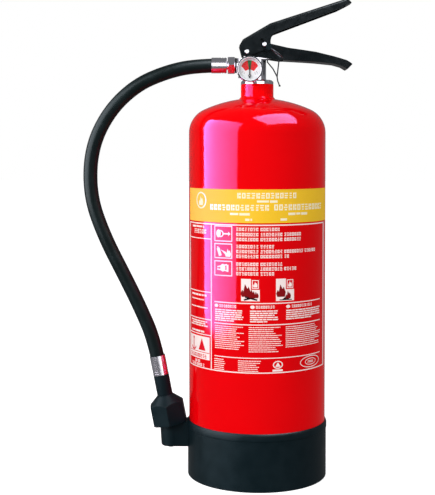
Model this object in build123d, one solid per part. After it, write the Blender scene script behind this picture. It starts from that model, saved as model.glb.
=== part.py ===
from build123d import *
import os
from math import atan2, cos, degrees, radians, sin, sqrt, tan

# A six-litre stored-pressure foam extinguisher, in millimetres.
# Origin: the middle of the skirt's foot. +Z is up, +X is the way the handles point,
# -Y is the front, where the gauge and the label are.

# ---- driving sizes -------------------------------------------------------------------
tank_radius = 80.0
tank_wall = 1.5
tank_bottom_z = 40.0            # lower tangent line of the straight wall
tank_top_z = 401.0              # upper tangent line of the straight wall
top_knuckle, top_crown = 30.0, 150.0
bottom_knuckle, bottom_crown = 20.0, 200.0
seam_height = 6.0               # how far the bottom cap's wall goes up inside the seam
liquid_gap = 71.0               # of the liquid's level under the top of the straight wall

neck_radius = 19.1
neck_height = 16.0
neck_bead = 2.4
thread_radius = 15.0
flange_radius = 19.0
flange_height = 5.5

column_radius = 10.4
valve_width = 20.0              # of the block between the handle's cheeks
valve_left = 22.0               # from the axis to the outlet face
block_shoulder = 24.7           # above the flange, where the column ends
block_height = 42.2             # above the flange, to the block's top
block_right = 4.4
fork_left = 16.0                # of the upper block, left of the axis
outlet_height = 16.7            # outlet axis above the flange
gauge_height = 10.7             # gauge axis above the flange
gauge_offset = 9.5

stem_radius = 3.0
seat_radius = 5.0
chamber_radius = 8.0
seat_drop = 2.8                 # of the valve seat under the neck's top
chamber_drop = 33.8             # of the chamber's foot under the neck's top
retainer_height = 10.0
stem_rise = 21.2                # stem tip above the lever's pivot

dip_outer, dip_inner = 6.0, 4.6
dip_foot_gap = 7.0              # strainer above the tank's floor

sheet = 2.0                     # steel of both handles
handle_gap = 0.2                # each side of the valve block
lever_gap = 0.3                 # each side of the carry handle
grip_half_width = 14.6          # of the carry handle, past its flare
web_start_x = 30.0              # where the carry handle's floor begins
flare_start_x, flare_rise = 34.7, 37.1
flare_slope = 1.6               # how far forward the flare's bends go for each unit down
flare_length = 17.0
handle_tip_x = 111.0
pivot_x, pivot_rise = -12.4, 37.3   # heights of the head's parts are above the neck's top
pivot_pin_radius = 2.0
rivet_x, rivet_rise, rivet_radius = -6.5, 42.7, 1.5
lever_travel = 16.0             # degrees

pin_x, pin_rise, pin_radius = 8.0, 45.5, 1.75
pin_head_radius = 2.7
ring_wire = 0.75
ring_radius = 8.6
ring_slope = -37.7              # degrees, the way the ring lies
tab_reach = 10.2                # from the lever's cheek out to the ring
seal_wire = 0.75

gauge_radius = 15.0
gauge_depth = 9.0
gauge_reach = 19.2              # from the valve axis to the back of the case
needle_drop = 7.5               # needle pivot under the middle of the dial

hose_radius, hose_bore = 8.25, 5.0
ferrule_wall = 0.9
nut_flats = 19.0
head_flats = 38.0
outlet_tube_radius = 7.4

skirt_wall = 1.35
skirt_height = 65.5
rib_count = 12
cup_radius = 12.0
cup_lean = 3.6                  # degrees from the vertical
cup_shift = 3.7                 # of its foot, outward from the nozzle's axis

label_foot_z, label_top_z = 132.7, 337.9
label_angle = 156.0
label_thickness = 0.2

# ---- fits ----------------------------------------------------------------------------
running = 0.05                  # radial, a shaft that turns or slides
seated = 0.02                   # between faces that rest on each other

# ---- places worked out from the sizes -------------------------------------------------
neck_top_z = tank_top_z + 56.8
liquid_level_z = tank_top_z - liquid_gap
seat_z = neck_top_z - seat_drop
chamber_foot_z = neck_top_z - chamber_drop
pivot_z = neck_top_z + pivot_rise
rivet_z = neck_top_z + rivet_rise
pin_z = neck_top_z + pin_rise
flange_top_z = neck_top_z + flange_height
outlet_z = flange_top_z + outlet_height
gauge_z = flange_top_z + gauge_height
half_block = valve_width / 2
handle_inner = half_block + handle_gap
handle_outer = handle_inner + sheet
lever_inner = handle_outer + lever_gap
lever_outer = lever_inner + sheet
inner_radius = tank_radius - tank_wall
skirt_inner = tank_radius + running
skirt_outer = skirt_inner + skirt_wall
skirt_rim = skirt_outer + 0.6
rim_foot_z = skirt_height - 8.6
retainer_top_z = chamber_foot_z + retainer_height
stem_tip_z = pivot_z + stem_rise

# The hose's route in the plane Y = 0: (x, z) of each corner, valve end first. The side run
# and the parked nozzle keep their distance from the tank's wall.
hose_route = [
    (-37.0, 480.0), (-71.0, 480.0), (-106.5, 472.5), (-143.0, 456.5), (-175.0, 425.0),
    (-tank_radius - 115.0, 382.0), (-tank_radius - 116.5, 328.0), (-tank_radius - 100.0, 280.0),
    (-tank_radius - 74.0, 229.0), (-tank_radius - 56.0, 192.0), (-tank_radius - 40.8, 155.5),
    (-tank_radius - 33.6, 118.4),
]
park_x, park_z = hose_route[-2]

head_frame = Plane(origin=(0, 0, neck_top_z), x_dir=(1, 0, 0), z_dir=(0, -1, 0))
outlet_frame = Plane(origin=(0, 0, outlet_z), x_dir=(0, -1, 0), z_dir=(-1, 0, 0))
gauge_frame = Plane(origin=(-gauge_offset, 0, gauge_z), x_dir=(1, 0, 0), z_dir=(0, -1, 0))
end_x, end_z = hose_route[-1]
tilt = atan2(end_x - park_x, park_z - end_z)      # the parked nozzle's, from the vertical
nozzle_frame = Plane(
    origin=(park_x, 0, park_z), x_dir=(cos(tilt), 0, sin(tilt)), z_dir=(sin(tilt), 0, -cos(tilt))
)

# Stations along the nozzle's axis, from the last corner of the hose's route.
hose_end_s = sqrt((end_x - park_x) ** 2 + (end_z - park_z) ** 2)
ferrule_start_s = hose_end_s - 20.6
shank_start_s = hose_end_s + 3.0
shoulder_start_s = shank_start_s + 23.7
head_start_s = shoulder_start_s + 8.4
head_end_s = head_start_s + 25.7
cup_top_s = head_end_s + seated
tube_end_s = head_end_s + 19.4

os.makedirs("parts", exist_ok=True)


# ---- helpers --------------------------------------------------------------------------
def turned(points):
    """A solid turned about Z from (radius, height) corners."""
    outline = Polyline(*[(r, 0, z) for r, z in points], close=True)
    return revolve(make_face(outline), Axis.Z)


def rod(radius, low, high):
    """A cylinder on Z from one height to another."""
    return Pos(0, 0, low) * Cylinder(radius, high - low, align=(Align.CENTER, Align.CENTER, Align.MIN))


def tube(outer, inner, low, high):
    """A ring section on Z."""
    return turned([(inner, low), (outer, low), (outer, high), (inner, high)])


def brick(x, y, z):
    """A box from its (low, high) pairs."""
    size = [high - low for low, high in (x, y, z)]
    return Pos(x[0], y[0], z[0]) * Box(*size, align=(Align.MIN, Align.MIN, Align.MIN))


def cross_rod(x, z, radius, low, high):
    """A cylinder along Y."""
    return Plane(origin=(x, low, z), x_dir=(1, 0, 0), z_dir=(0, 1, 0)) * rod(radius, 0, high - low)


def side_plate(outline, half_width):
    """A closed side outline of (x, z) lines and arcs, as thick as both half widths."""
    face = make_face(outline)
    return extrude(face, amount=half_width, both=True, dir=(0, 1, 0))


def plan_form(points, low, high):
    """A plan outline of (x, y) corners, from one height to another."""
    face = make_face(Polyline(*[(x, y, low) for x, y in points], close=True))
    return extrude(face, amount=high - low, dir=(0, 0, 1))


def side_line(points):
    """Straight side outline through (x, z) corners."""
    return Polyline(*[(x, 0, z) for x, z in points], close=True)


def head_line(points):
    """Straight side outline through (x, rise above the neck's top) corners."""
    return side_line([(x, neck_top_z + rise) for x, rise in points])


def hexagon(flats, low, high, turn=0):
    """A hexagonal bar on Z."""
    face = RegularPolygon(flats / 2, 6, major_radius=False, rotation=turn)
    return Pos(0, 0, low) * extrude(face, amount=high - low)


def ring_wire_solid(radius, wire):
    """A closed wire ring about Z."""
    return Torus(radius, wire)


def dished(radius, knuckle, crown, straight):
    """A filled dished end: the dome above z = 0 and a straight wall below it."""
    centre = radius - knuckle
    drop = sqrt((crown - knuckle) ** 2 - centre ** 2)
    turn = degrees(atan2(drop, centre))
    with BuildSketch(Plane.XZ) as section:
        with BuildLine():
            Polyline((0, -straight), (radius, -straight), (radius, 0))
            CenterArc((centre, 0), knuckle, 0, turn)
            crown_arc = CenterArc((0, -drop), crown, turn, 90 - turn)
            Line(crown_arc @ 1, (0, -straight))
        make_face()
    return revolve(section.sketch, Axis.Z)


def top_form(inset, foot_z):
    """The filled top of the tank, inset from its outer face, from foot_z up."""
    form = dished(tank_radius - inset, top_knuckle - inset, top_crown - inset, tank_top_z - foot_z)
    return Pos(0, 0, tank_top_z) * form


def bottom_form(inset, top_z):
    """The filled bottom of the tank, inset from its outer face, up to top_z."""
    form = dished(
        tank_radius - inset, bottom_knuckle - inset, bottom_crown - inset, top_z - tank_bottom_z
    )
    return Pos(0, 0, tank_bottom_z) * Rot(180, 0, 0) * form


def dome_height(radius, knuckle, crown):
    """How far a dished end stands above its tangent line."""
    return crown - sqrt((crown - knuckle) ** 2 - (radius - knuckle) ** 2)


tank_floor_z = tank_bottom_z - dome_height(tank_radius, bottom_knuckle, bottom_crown) + tank_wall
dome_top_z = tank_top_z + dome_height(tank_radius, top_knuckle, top_crown)


# ---- the tank -------------------------------------------------------------------------
def cylinder_shell():
    """The drawn steel body with its domed top."""
    seam_z = tank_bottom_z + seam_height
    shell = top_form(0, seam_z) - top_form(tank_wall, seam_z)
    return shell - rod(neck_radius, tank_top_z, neck_top_z)


def bottom_dome():
    """The welded bottom cap, which bulges down inside the skirt."""
    seam_z = tank_bottom_z + seam_height
    return bottom_form(0, seam_z) - bottom_form(tank_wall, seam_z)


def neck_boss():
    """The threaded neck ring, with its weld bead on the dome."""
    root_z = dome_top_z - 6.0
    bead_top_z = dome_top_z + 1.2
    boss = turned([
        (thread_radius, root_z), (neck_radius, root_z), (neck_radius, neck_top_z - 0.6),
        (neck_radius - 0.6, neck_top_z), (thread_radius, neck_top_z),
    ])
    bead = turned([
        (neck_radius, dome_top_z - 3.0), (neck_radius + neck_bead, dome_top_z - 3.0),
        (neck_radius + neck_bead, dome_top_z - 1.6), (neck_radius, bead_top_z),
    ])
    groove = tube(thread_radius + 2.6, thread_radius, neck_top_z - 2.4, neck_top_z)
    return boss + (bead - top_form(0, tank_top_z - 1)) - groove


def neck_o_ring():
    """The seal between the neck and the valve's flange."""
    return Pos(0, 0, neck_top_z - 1.2) * ring_wire_solid(thread_radius + 1.3, 1.15)


def foam_charge():
    """The six litres of foam liquid, clear of the tank and the dip tube."""
    film = tank_wall + running
    liquid = bottom_form(film, liquid_level_z)
    return liquid - rod(dip_outer + running, tank_floor_z, liquid_level_z + 1) - rod(
        dip_outer + 2.0 + running, tank_floor_z + dip_foot_gap - 1, tank_floor_z + dip_foot_gap + 26
    )


# ---- the valve ------------------------------------------------------------------------
def valve_body():
    """The forged valve: thread, flange, column, block, outlet and gauge port."""
    block_top_z = flange_top_z + block_height
    shoulder_z = flange_top_z + block_shoulder
    body = rod(thread_radius, chamber_foot_z, neck_top_z)
    body += turned([
        (0, neck_top_z), (flange_radius, neck_top_z), (flange_radius, flange_top_z - 2.6),
        (flange_radius - 2.2, flange_top_z - 0.7), (column_radius + 1, flange_top_z), (0, flange_top_z),
    ])
    body += rod(column_radius, flange_top_z, shoulder_z)
    block = brick((-valve_left, 0), (-half_block, half_block), (flange_top_z + 2.5, shoulder_z))
    body += fillet(block.edges().filter_by(Axis.Z).group_by(Axis.X)[0], 2.5)
    upper = brick((-fork_left, block_right), (-half_block, half_block), (shoulder_z - 1, block_top_z))
    body += chamfer(upper.edges().group_by(Axis.Z)[-1].group_by(Axis.X)[0], 4.0)
    for side in (-1, 1):
        pad = brick((4.0, 17.0), (6.0, 9.5), (shoulder_z - 1.0, shoulder_z + 1.0))
        body += pad if side > 0 else mirror(pad, Plane.XZ)
    body += outlet_frame * rod(8.5, valve_left, valve_left + 2.0)
    body += outlet_frame * rod(7.0, valve_left, valve_left + 8.0)
    body -= rod(chamber_radius, chamber_foot_z, seat_z)
    body -= rod(seat_radius, seat_z, shoulder_z - 3.0)
    body -= rod(stem_radius + running, shoulder_z - 3.0, block_top_z)
    body -= tube(stem_radius + 1.85, stem_radius, shoulder_z + 1.1, shoulder_z + 2.9)
    body -= outlet_frame * rod(3.5, 0, valve_left + 8.0)
    body -= gauge_frame * rod(3.5, 3.5, half_block)
    body -= Pos(-gauge_offset, -4.0, 0) * rod(1.1, chamber_foot_z, gauge_z + 1.0)
    body -= cross_rod(pivot_x, pivot_z, pivot_pin_radius, -half_block, half_block)
    body -= cross_rod(rivet_x, rivet_z, rivet_radius, -half_block, half_block)
    return body


def stem():
    """The valve stem: a rounded tip the lever presses, and a flange that holds the seal."""
    foot_z = seat_z - 6.0
    shaft = rod(stem_radius, foot_z, stem_tip_z - stem_radius)
    tip = Pos(0, 0, stem_tip_z - stem_radius) * Sphere(stem_radius)
    return shaft + tip + rod(chamber_radius - 1.5, foot_z, foot_z + 2.0)


def stem_seal():
    """The rubber washer that closes the seat."""
    return tube(chamber_radius - 1.2, stem_radius, seat_z - 4.0, seat_z)


def stem_o_ring():
    """The seal round the stem, in the block's groove."""
    middle_z = flange_top_z + block_shoulder + 2.0
    return Pos(0, 0, middle_z) * ring_wire_solid(stem_radius + running + 0.87, 0.85)


def stem_spring():
    """The spring that lifts the stem and the lever."""
    wire = 0.5
    low = retainer_top_z + wire + seated
    high = seat_z - 6.0 - wire - seated
    path = Helix(pitch=(high - low) / 5, height=high - low, radius=5.4)
    section = Plane(origin=path @ 0, z_dir=path % 0) * Circle(wire)
    return Pos(0, 0, low) * sweep(section, path=path)


def spring_retainer():
    """The threaded ring that carries the spring and grips the dip tube."""
    ring = tube(chamber_radius, dip_inner, chamber_foot_z, retainer_top_z)
    return ring - rod(dip_outer, chamber_foot_z, retainer_top_z - 4.0)


def dip_tube():
    """The plastic pick-up tube, down to the bottom of the tank."""
    return tube(dip_outer, dip_inner, tank_floor_z + dip_foot_gap + 4.0, retainer_top_z - 4.0)


def dip_tube_strainer():
    """A slotted cap on the foot of the dip tube."""
    foot_z = tank_floor_z + dip_foot_gap
    cap = turned([
        (0, foot_z), (6.6, foot_z), (7.8, foot_z + 1.2), (7.8, foot_z + 24), (dip_outer, foot_z + 24),
        (dip_outer, foot_z + 4), (dip_inner, foot_z + 4), (dip_inner, foot_z + 1.6), (0, foot_z + 1.6),
    ])
    for step in range(4):
        cap -= Rot(0, 0, 45 * step) * brick((-9, 9), (-0.5, 0.5), (foot_z + 1.8, foot_z + 3.6))
    return cap


# ---- the gauge ------------------------------------------------------------------------
def gauge_case():
    """Chrome case, its threaded stem and the rolled bezel."""
    back, front = gauge_reach, gauge_reach + gauge_depth
    rim = gauge_radius
    case = turned([
        (0.8, 5), (3.5, 5), (3.5, half_block + 1.2), (5.5, half_block + 1.2), (5.5, 14.0), (4.5, 14.0),
        (4.5, back), (rim - 1.2, back), (rim, back + 1.2), (rim, front - 1.0), (rim - 0.9, front),
        (rim - 2.0, front), (rim - 2.0, front - 0.8), (rim - 1.1, front - 0.8), (rim - 1.1, back + 4.0),
        (rim - 2.4, back + 4.0), (rim - 2.4, back + 1.2), (0.8, back + 1.2),
    ])
    return gauge_frame * case


def gauge_o_ring():
    """The seal at the gauge's stem."""
    return gauge_frame * Pos(0, 0, half_block + 0.6) * ring_wire_solid(4.12, 0.59)


def gauge_dial():
    """The dial plate."""
    back = gauge_reach + 4.0
    dial = rod(gauge_radius - 1.1 - running, back + seated, back + 0.5)
    return gauge_frame * (dial - Pos(0, -needle_drop, 0) * rod(0.6, back - 1, back + 1))


def gauge_lens():
    """The clear window behind the bezel."""
    front = gauge_reach + gauge_depth - 0.8
    return gauge_frame * rod(gauge_radius - 1.1 - running, front - 1.2, front - seated)


def gauge_needle():
    """The pointer, its hub and its spindle."""
    back = gauge_reach + 4.0
    hub = rod(1.1, back + 1.0, back + 2.2) + rod(0.5, back - 0.4, back + 1.0)
    blade = make_face(Polyline((-0.75, -2.6, 0), (0.75, -2.6, 0), (0.3, 14.3, 0), (-0.3, 14.3, 0), close=True))
    pointer = Pos(0, 0, back + 1.3) * extrude(blade, amount=0.4, dir=(0, 0, 1))
    return gauge_frame * Pos(0, -needle_drop, 0) * (hub + pointer)


def bourdon_tube():
    """The curved tube that moves the needle, with the post that feeds it."""
    back = gauge_reach + 1.2
    curve = revolve(
        make_face(Polyline((8.4, 0, back + 0.5), (9.8, 0, back + 0.5), (9.8, 0, back + 2.2),
                           (8.4, 0, back + 2.2), close=True)),
        Axis.Z, revolution_arc=250,
    )
    post = tube(2.2, 0.8, back, back + 2.3)
    feed = brick((1.9, 9.4), (-0.9, 0.9), (back + 0.5, back + 2.2))
    return gauge_frame * Rot(0, 0, -50) * (curve + post + feed)


# ---- the handles ----------------------------------------------------------------------
def carry_handle():
    """The fixed lower handle: a channel open upward, with bare cheeks round the valve."""
    outline = head_line([
        (-17.9, 32.3), (4.1, 30.7), (25.3, 27.5), (30.4, 27.5), (67.4, 25.4), (88.3, 23.3),
        (98.0, 20.6), (104.2, 17.0), (110.6, 23.3), (103.1, 27.5), (88.3, 31.9), (67.4, 37.0),
        (35.8, 41.7), (15.1, 46.6), (9.4, 53.2), (2.0, 53.1), (-9.0, 46.7), (-18.5, 41.2),
    ])
    hollow = head_line([
        (-40, 17.2), (web_start_x, 17.2), (web_start_x, 29.5), (67.6, 27.4), (88.6, 25.3),
        (98.9, 22.4), (104.6, 19.2), (130, 19.2), (130, 54.2), (-40, 54.2),
    ])
    body = side_plate(outline, 20) & flared_form(0)
    body = body - (side_plate(hollow, 20) & flared_form(sheet))
    body -= cross_rod(pivot_x, pivot_z, pivot_pin_radius, -20, 20)
    body -= cross_rod(rivet_x, rivet_z, rivet_radius, -20, 20)
    body -= cross_rod(pin_x, pin_z, pin_radius + running, -20, 20)
    return body


def flared_form(inset):
    """A block with the carry handle's plan: narrow cheeks, then a flare whose bends slope down
    and forward, then a wide grip with a rounded tip."""
    top_z, depth = neck_top_z + 54.2, 40.0
    cheek, grip, tip_x = handle_outer - inset, grip_half_width - inset, handle_tip_x - inset * 1.2
    start = flare_start_x - (top_z - neck_top_z - flare_rise) * flare_slope
    side = [(-200, cheek), (start, cheek), (start + flare_length, grip), (200, grip)]
    corners = side + [(x, -y) for x, y in reversed(side)]
    face = make_face(Polyline(*[(x, y, top_z) for x, y in corners], close=True))
    slope = Vector(flare_slope, 0, -1)
    flare = extrude(face, amount=depth * slope.length, dir=slope.normalized())
    tip = [(-40, grip), (tip_x - 7, grip), (tip_x - 2.5, grip - 2.0), (tip_x, grip - 6.5)]
    return flare & plan_form(tip + [(x, -y) for x, y in reversed(tip)], top_z - depth, top_z)


def squeeze_lever():
    """The upper lever: a channel open downward, whose cheeks straddle the carry handle."""
    with BuildLine(head_frame) as edge:
        Polyline(
            (12.6, 35.9), (7.3, 39.1), (-6.4, 33.8), (-17.9, 31.9), (-21.1, 44.4), (-16.9, 51.7),
            (14.6, 70.1), (103.1, 98.7), (109.5, 94.4), (93.7, 86.5), (18.9, 58.6),
        )
        ThreePointArc((18.9, 58.6), (15.6, 52.8), (15.1, 46.6))
        Line((15.1, 46.6), (12.6, 35.9))
    outline = edge.line
    hollow = head_line([
        (-40, 22.2), (-40, 41.2), (-19.3, 44.0), (-15.6, 50.2), (15.4, 68.3), (102.6, 96.5),
        (105.4, 94.6), (93.0, 77.2), (60, 22.2),
    ])
    low, high = neck_top_z + 12, neck_top_z + 112
    outer = plan_form(lever_plan(0, 109.6), low, high)
    inner = plan_form(lever_plan(sheet, 107.6), low, high)
    body = side_plate(outline, 20) & outer
    body = body - (side_plate(hollow, 20) & inner)
    back = [
        edge for edge in body.edges()
        if edge.length > 30 and abs(abs(edge.center().Y) - lever_outer) < 0.1
        and edge.center().Z > neck_top_z + 58.2 + 0.37 * edge.center().X
    ]
    body = fillet(ShapeList(back), 3.0)
    body -= cross_rod(pivot_x, pivot_z, pivot_pin_radius + running, -20, 20)
    return body - lock_slot()


def lever_plan(inset, tip_x):
    """The lever's plan: straight, with a rounded tip."""
    width = lever_outer - inset
    side = [(-40, width), (tip_x - 7, width), (tip_x - 2.5, width - 2.0), (tip_x, width - 6.5)]
    return side + [(x, -y) for x, y in reversed(side)]


def lock_slot():
    """The curved slot in the lever's cheeks for the safety pin."""
    reach = sqrt((pin_x - pivot_x) ** 2 + (pin_z - pivot_z) ** 2)
    start = degrees(atan2(pin_z - pivot_z, pin_x - pivot_x))
    half = pin_radius + running
    arc = CenterArc((pivot_x, pivot_z), reach, start, lever_travel)
    ends = [arc @ 0, arc @ 1]
    slot = cross_rod(ends[0].X, ends[0].Y, half, -20, 20) + cross_rod(ends[1].X, ends[1].Y, half, -20, 20)
    band = revolve(
        make_face(Polyline((reach - half, 0, -20), (reach + half, 0, -20), (reach + half, 0, 20),
                           (reach - half, 0, 20), close=True)),
        Axis.Z, revolution_arc=lever_travel,
    )
    turned_band = Plane(origin=(pivot_x, 0, pivot_z), x_dir=(1, 0, 0), z_dir=(0, -1, 0)) * Rot(0, 0, start) * band
    return slot + turned_band


def pivot_pin():
    """The lever's pivot, with a low domed head at each end."""
    grip = lever_outer + running
    pin = cross_rod(pivot_x, pivot_z, pivot_pin_radius, -grip, grip)
    for side in (-1, 1):
        head = cross_rod(pivot_x, pivot_z, pin_head_radius, grip, grip + 1.1)
        head = fillet(head.edges().group_by(Axis.Y)[-1], 0.9)
        pin += head if side > 0 else mirror(head, Plane.XZ)
    return pin


def handle_rivet():
    """The flush rivet that stops the carry handle from turning."""
    return cross_rod(rivet_x, rivet_z, rivet_radius, -handle_outer, handle_outer)


# ---- the safety pin, its ring and its seal --------------------------------------------
tab_back = lever_outer + 0.25
tab_front = tab_back + tab_reach
ring_x, ring_z = pin_x + 6.9, pin_z - 5.6
ring_y = -(tab_front - 0.8)


def safety_pin():
    """The steel pin through both handles, with a domed end at the front."""
    shaft = cross_rod(pin_x, pin_z, pin_radius, -tab_back - 1.7, lever_outer + 3.2)
    tail = Plane(origin=(pin_x, lever_outer + 3.2, pin_z), x_dir=(1, 0, 0), z_dir=(0, 1, 0)) * turned(
        [(0, 0), (pin_radius, 0), (pin_radius - 0.7, 1.4), (0, 1.8)]
    )
    head = cross_rod(pin_x, pin_z, pin_head_radius, -tab_back - 2.8, -tab_back - 1.7)
    return shaft + tail + fillet(head.edges().group_by(Axis.Y)[0], 0.9)


def pin_tab():
    """The plastic tab that is moulded on the pin and holds the ring."""
    tab_x, tab_z = pin_x + 4.7, pin_z - 3.6
    back = cross_rod(tab_x, tab_z, 3.5, -tab_back - 1.7, -tab_back)
    back += cross_rod(pin_x, pin_z, 3.0, -tab_back - 1.7, -tab_back)
    post = cross_rod(tab_x - 0.9, tab_z + 1.0, 1.9, -tab_front, -tab_back)
    eye = cross_rod(tab_x, tab_z, 3.5, -tab_front, -tab_front + 1.6)
    body = back + post + eye
    body -= cross_rod(pin_x, pin_z, pin_radius, -tab_back - 1.7, -tab_back)
    return body - cross_rod(ring_x, ring_z, ring_wire + 0.25, -tab_front - 1, -tab_front + 2)


def pull_ring():
    """The wire ring: its plane holds the Y axis, and it hangs from the tab's eye."""
    slope = radians(ring_slope)
    centre = (ring_x + ring_radius * cos(slope), ring_y, ring_z + ring_radius * sin(slope))
    plane = Plane(origin=centre, x_dir=(0, 1, 0), z_dir=(-sin(slope), 0, cos(slope)))
    return plane * ring_wire_solid(ring_radius, ring_wire)


def strand(points, radius):
    """A thin round strand through (x, z) points in the plane Y = 0, with round joints."""
    solid = Pos(points[0][0], 0, points[0][1]) * Sphere(radius)
    for (x0, z0), (x1, z1) in zip(points, points[1:]):
        start, way = Vector(x0, 0, z0), Vector(x1 - x0, 0, z1 - z0)
        solid += Plane(origin=start, z_dir=way.normalized()) * rod(radius, 0, way.length)
        solid += Pos(x1, 0, z1) * Sphere(radius)
    return solid


def tamper_seal():
    """The thin plastic loop round the safety pin, with its tail and end tab."""
    bend = (pin_radius + seal_wire + running) / cos(radians(15))
    arch = [
        (pin_x + bend * cos(radians(angle)), pin_z + bend * sin(radians(angle)))
        for angle in range(195, -16, -30)
    ]
    join = (23.3, neck_top_z + 9.2)
    left = [join, (18.4, neck_top_z + 18.4), (12.0, neck_top_z + 26.2), (11.7, neck_top_z + 31.2)]
    loop = left + arch + [(22.5, neck_top_z + 34.2), (25.4, neck_top_z + 27.2), join]
    tail = strand([join, (24.0, neck_top_z + 4.2), (26.2, neck_top_z - 1.2)], seal_wire)
    end_tab = Pos(26.3, 0, neck_top_z - 1.6) * Box(2.2, 1.5, 1.6)
    return strand(loop, seal_wire) + tail + end_tab


# ---- the hose and the nozzle ----------------------------------------------------------
def outlet_o_ring():
    """The ring between the outlet collar and the nut."""
    return outlet_frame * Pos(0, 0, valve_left + 3.0) * ring_wire_solid(8.02, 0.99)


def outlet_washer():
    """The flat washer that the hose tail is pulled against."""
    return outlet_frame * tube(6.9, 4.0, valve_left + 8.0, valve_left + 9.0)


def hose_nut():
    """The union nut on the outlet."""
    start = valve_left + 4.2
    nut = hexagon(nut_flats, start, start + 8.3) & turned([
        (0, start), (nut_flats / 2, start), (nut_flats * 0.58, start + 1.2),
        (nut_flats * 0.58, start + 7.1), (nut_flats / 2, start + 8.3), (0, start + 8.3),
    ])
    nut = nut - rod(7.0, start, start + 6.35) - rod(5.0 + running, start, start + 9)
    return outlet_frame * nut


def hose_tail():
    """The barbed tail inside the hose, with the collar that the nut pulls."""
    start = valve_left + 9.0
    tail = turned([
        (3.4, start), (6.9, start), (6.9, start + 1.5), (hose_bore, start + 1.5),
        (hose_bore, start + 21.5), (hose_bore - 0.8, start + 23.5), (3.4, start + 23.5),
    ])
    return outlet_frame * tail


def ferrule(open_s, wall_s, close_s):
    """A crimped sleeve on Z over the hose's end, with an end wall and pressed rings."""
    outer = hose_radius + ferrule_wall
    way = 1 if close_s > open_s else -1
    rim = close_s - way * 0.8
    corners = [
        (hose_radius, open_s), (outer, open_s), (outer, rim), (outer - 0.8, close_s),
        (hose_bore + running, close_s), (hose_bore + running, wall_s), (hose_radius, wall_s),
    ]
    sleeve = turned(corners)
    for step in (3.4, 6.0):
        middle = close_s - way * step
        sleeve -= tube(outer + 1, outer - 0.45, middle - 0.6, middle + 0.6)
    return sleeve


def ferrule_valve_end():
    """The sleeve at the valve end of the hose."""
    hose_start = -hose_route[0][0]
    return outlet_frame * ferrule(hose_start + 16.5, hose_start, hose_start - 1.4)


def ferrule_nozzle_end():
    """The sleeve at the nozzle end of the hose."""
    return nozzle_frame * ferrule(ferrule_start_s, hose_end_s, shank_start_s)


def hose_path():
    """The hose's centre line: straight runs joined by tangent arcs."""
    radii = []
    points = [Vector(x, 0, z) for x, z in hose_route]
    for before, corner, after in zip(points, points[1:], points[2:]):
        run = min((corner - before).length, (after - corner).length)
        turn = (corner - before).get_angle(after - corner)
        radii.append(0.45 * run / tan(radians(turn) / 2))
    path = FilletPolyline(*points, radius=radii)
    print("hose radii", [round(r) for r in radii], "length", round(path.length, 1))
    return path


def hose():
    """The rubber hose."""
    path = hose_path()
    start = Plane(origin=path @ 0, z_dir=path % 0)
    body = sweep(start * Circle(hose_radius), path=path) - sweep(start * Circle(hose_bore), path=path)
    section = 3.141593 * (hose_radius ** 2 - hose_bore ** 2)
    print("hose volume", round(body.volume), "expected", round(section * path.length))
    return body


def nozzle_shank():
    """The swivel tail of the nozzle: a barb in the hose and a plain shank."""
    return nozzle_frame * turned([
        (3.2, 19.0), (hose_bore - 0.8, 19.0), (hose_bore, 21.0), (hose_bore, shank_start_s),
        (9.1, shank_start_s), (9.1, shoulder_start_s + 4.0), (3.2, shoulder_start_s + 4.0),
    ])


def nozzle_head():
    """The hexagonal nozzle head, whose shoulder is a faceted cone."""
    across = head_flats / 2
    corner = across / cos(radians(30))
    bar = hexagon(head_flats, shoulder_start_s, head_end_s, turn=30)
    form = turned([
        (9.6, shoulder_start_s), (corner, head_start_s + 2.4), (corner, head_end_s - 1.0),
        (corner - 1.4, head_end_s), (0, head_end_s), (0, shoulder_start_s),
    ])
    facets = loft([
        Pos(0, 0, shoulder_start_s - 0.5) * RegularPolygon(9.4, 6, major_radius=False, rotation=30),
        Pos(0, 0, head_start_s) * RegularPolygon(across, 6, major_radius=False, rotation=30),
    ])
    cone = facets + hexagon(head_flats, head_start_s, head_end_s, turn=30)
    head = (bar & form & cone) - rod(9.1, shoulder_start_s - 1, shoulder_start_s + 4.0)
    head -= rod(3.2, shoulder_start_s, head_start_s)
    return nozzle_frame * (head - rod(outlet_tube_radius, head_start_s, head_end_s))


def nozzle_tube():
    """The outlet tube that stands in the holder's cup."""
    return nozzle_frame * turned([
        (5.6, head_start_s), (outlet_tube_radius, head_start_s), (outlet_tube_radius, tube_end_s - 1),
        (outlet_tube_radius - 0.8, tube_end_s), (5.6, tube_end_s),
    ])


def nozzle_jet():
    """The spray insert in the outlet tube, with its swirl holes."""
    jet = rod(5.6, head_start_s + 2, head_start_s + 8) - rod(1.4, head_start_s + 2, head_start_s + 8)
    for step in range(6):
        jet -= Rot(0, 0, 60 * step) * Pos(3.7, 0, 0) * rod(0.8, head_start_s + 2, head_start_s + 8)
    return nozzle_frame * jet


# ---- the base skirt and the label -----------------------------------------------------
def base_skirt():
    """The moulded skirt: a wall, a foot ring and ribs under the tank."""
    wall = turned([
        (skirt_inner - 8, 0), (skirt_outer - 0.6, 0), (skirt_outer, 0.6), (skirt_outer, rim_foot_z),
        (skirt_rim, rim_foot_z + 0.6), (skirt_rim, rim_foot_z + 5.6), (skirt_rim - 0.7, skirt_height - 1.0),
        (skirt_inner + 0.5, skirt_height), (skirt_inner, skirt_height), (skirt_inner, 3.0),
        (skirt_inner - 8, 3.0),
    ])
    tank = bottom_form(-seated, skirt_height + 1)
    for step in range(rib_count):
        rib = brick((skirt_inner - 20, skirt_inner + 0.5), (-1.5, 1.5), (1.0, 36.0))
        wall += Rot(0, 0, (step + 0.5) * 360 / rib_count) * rib - tank
    return wall


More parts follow.
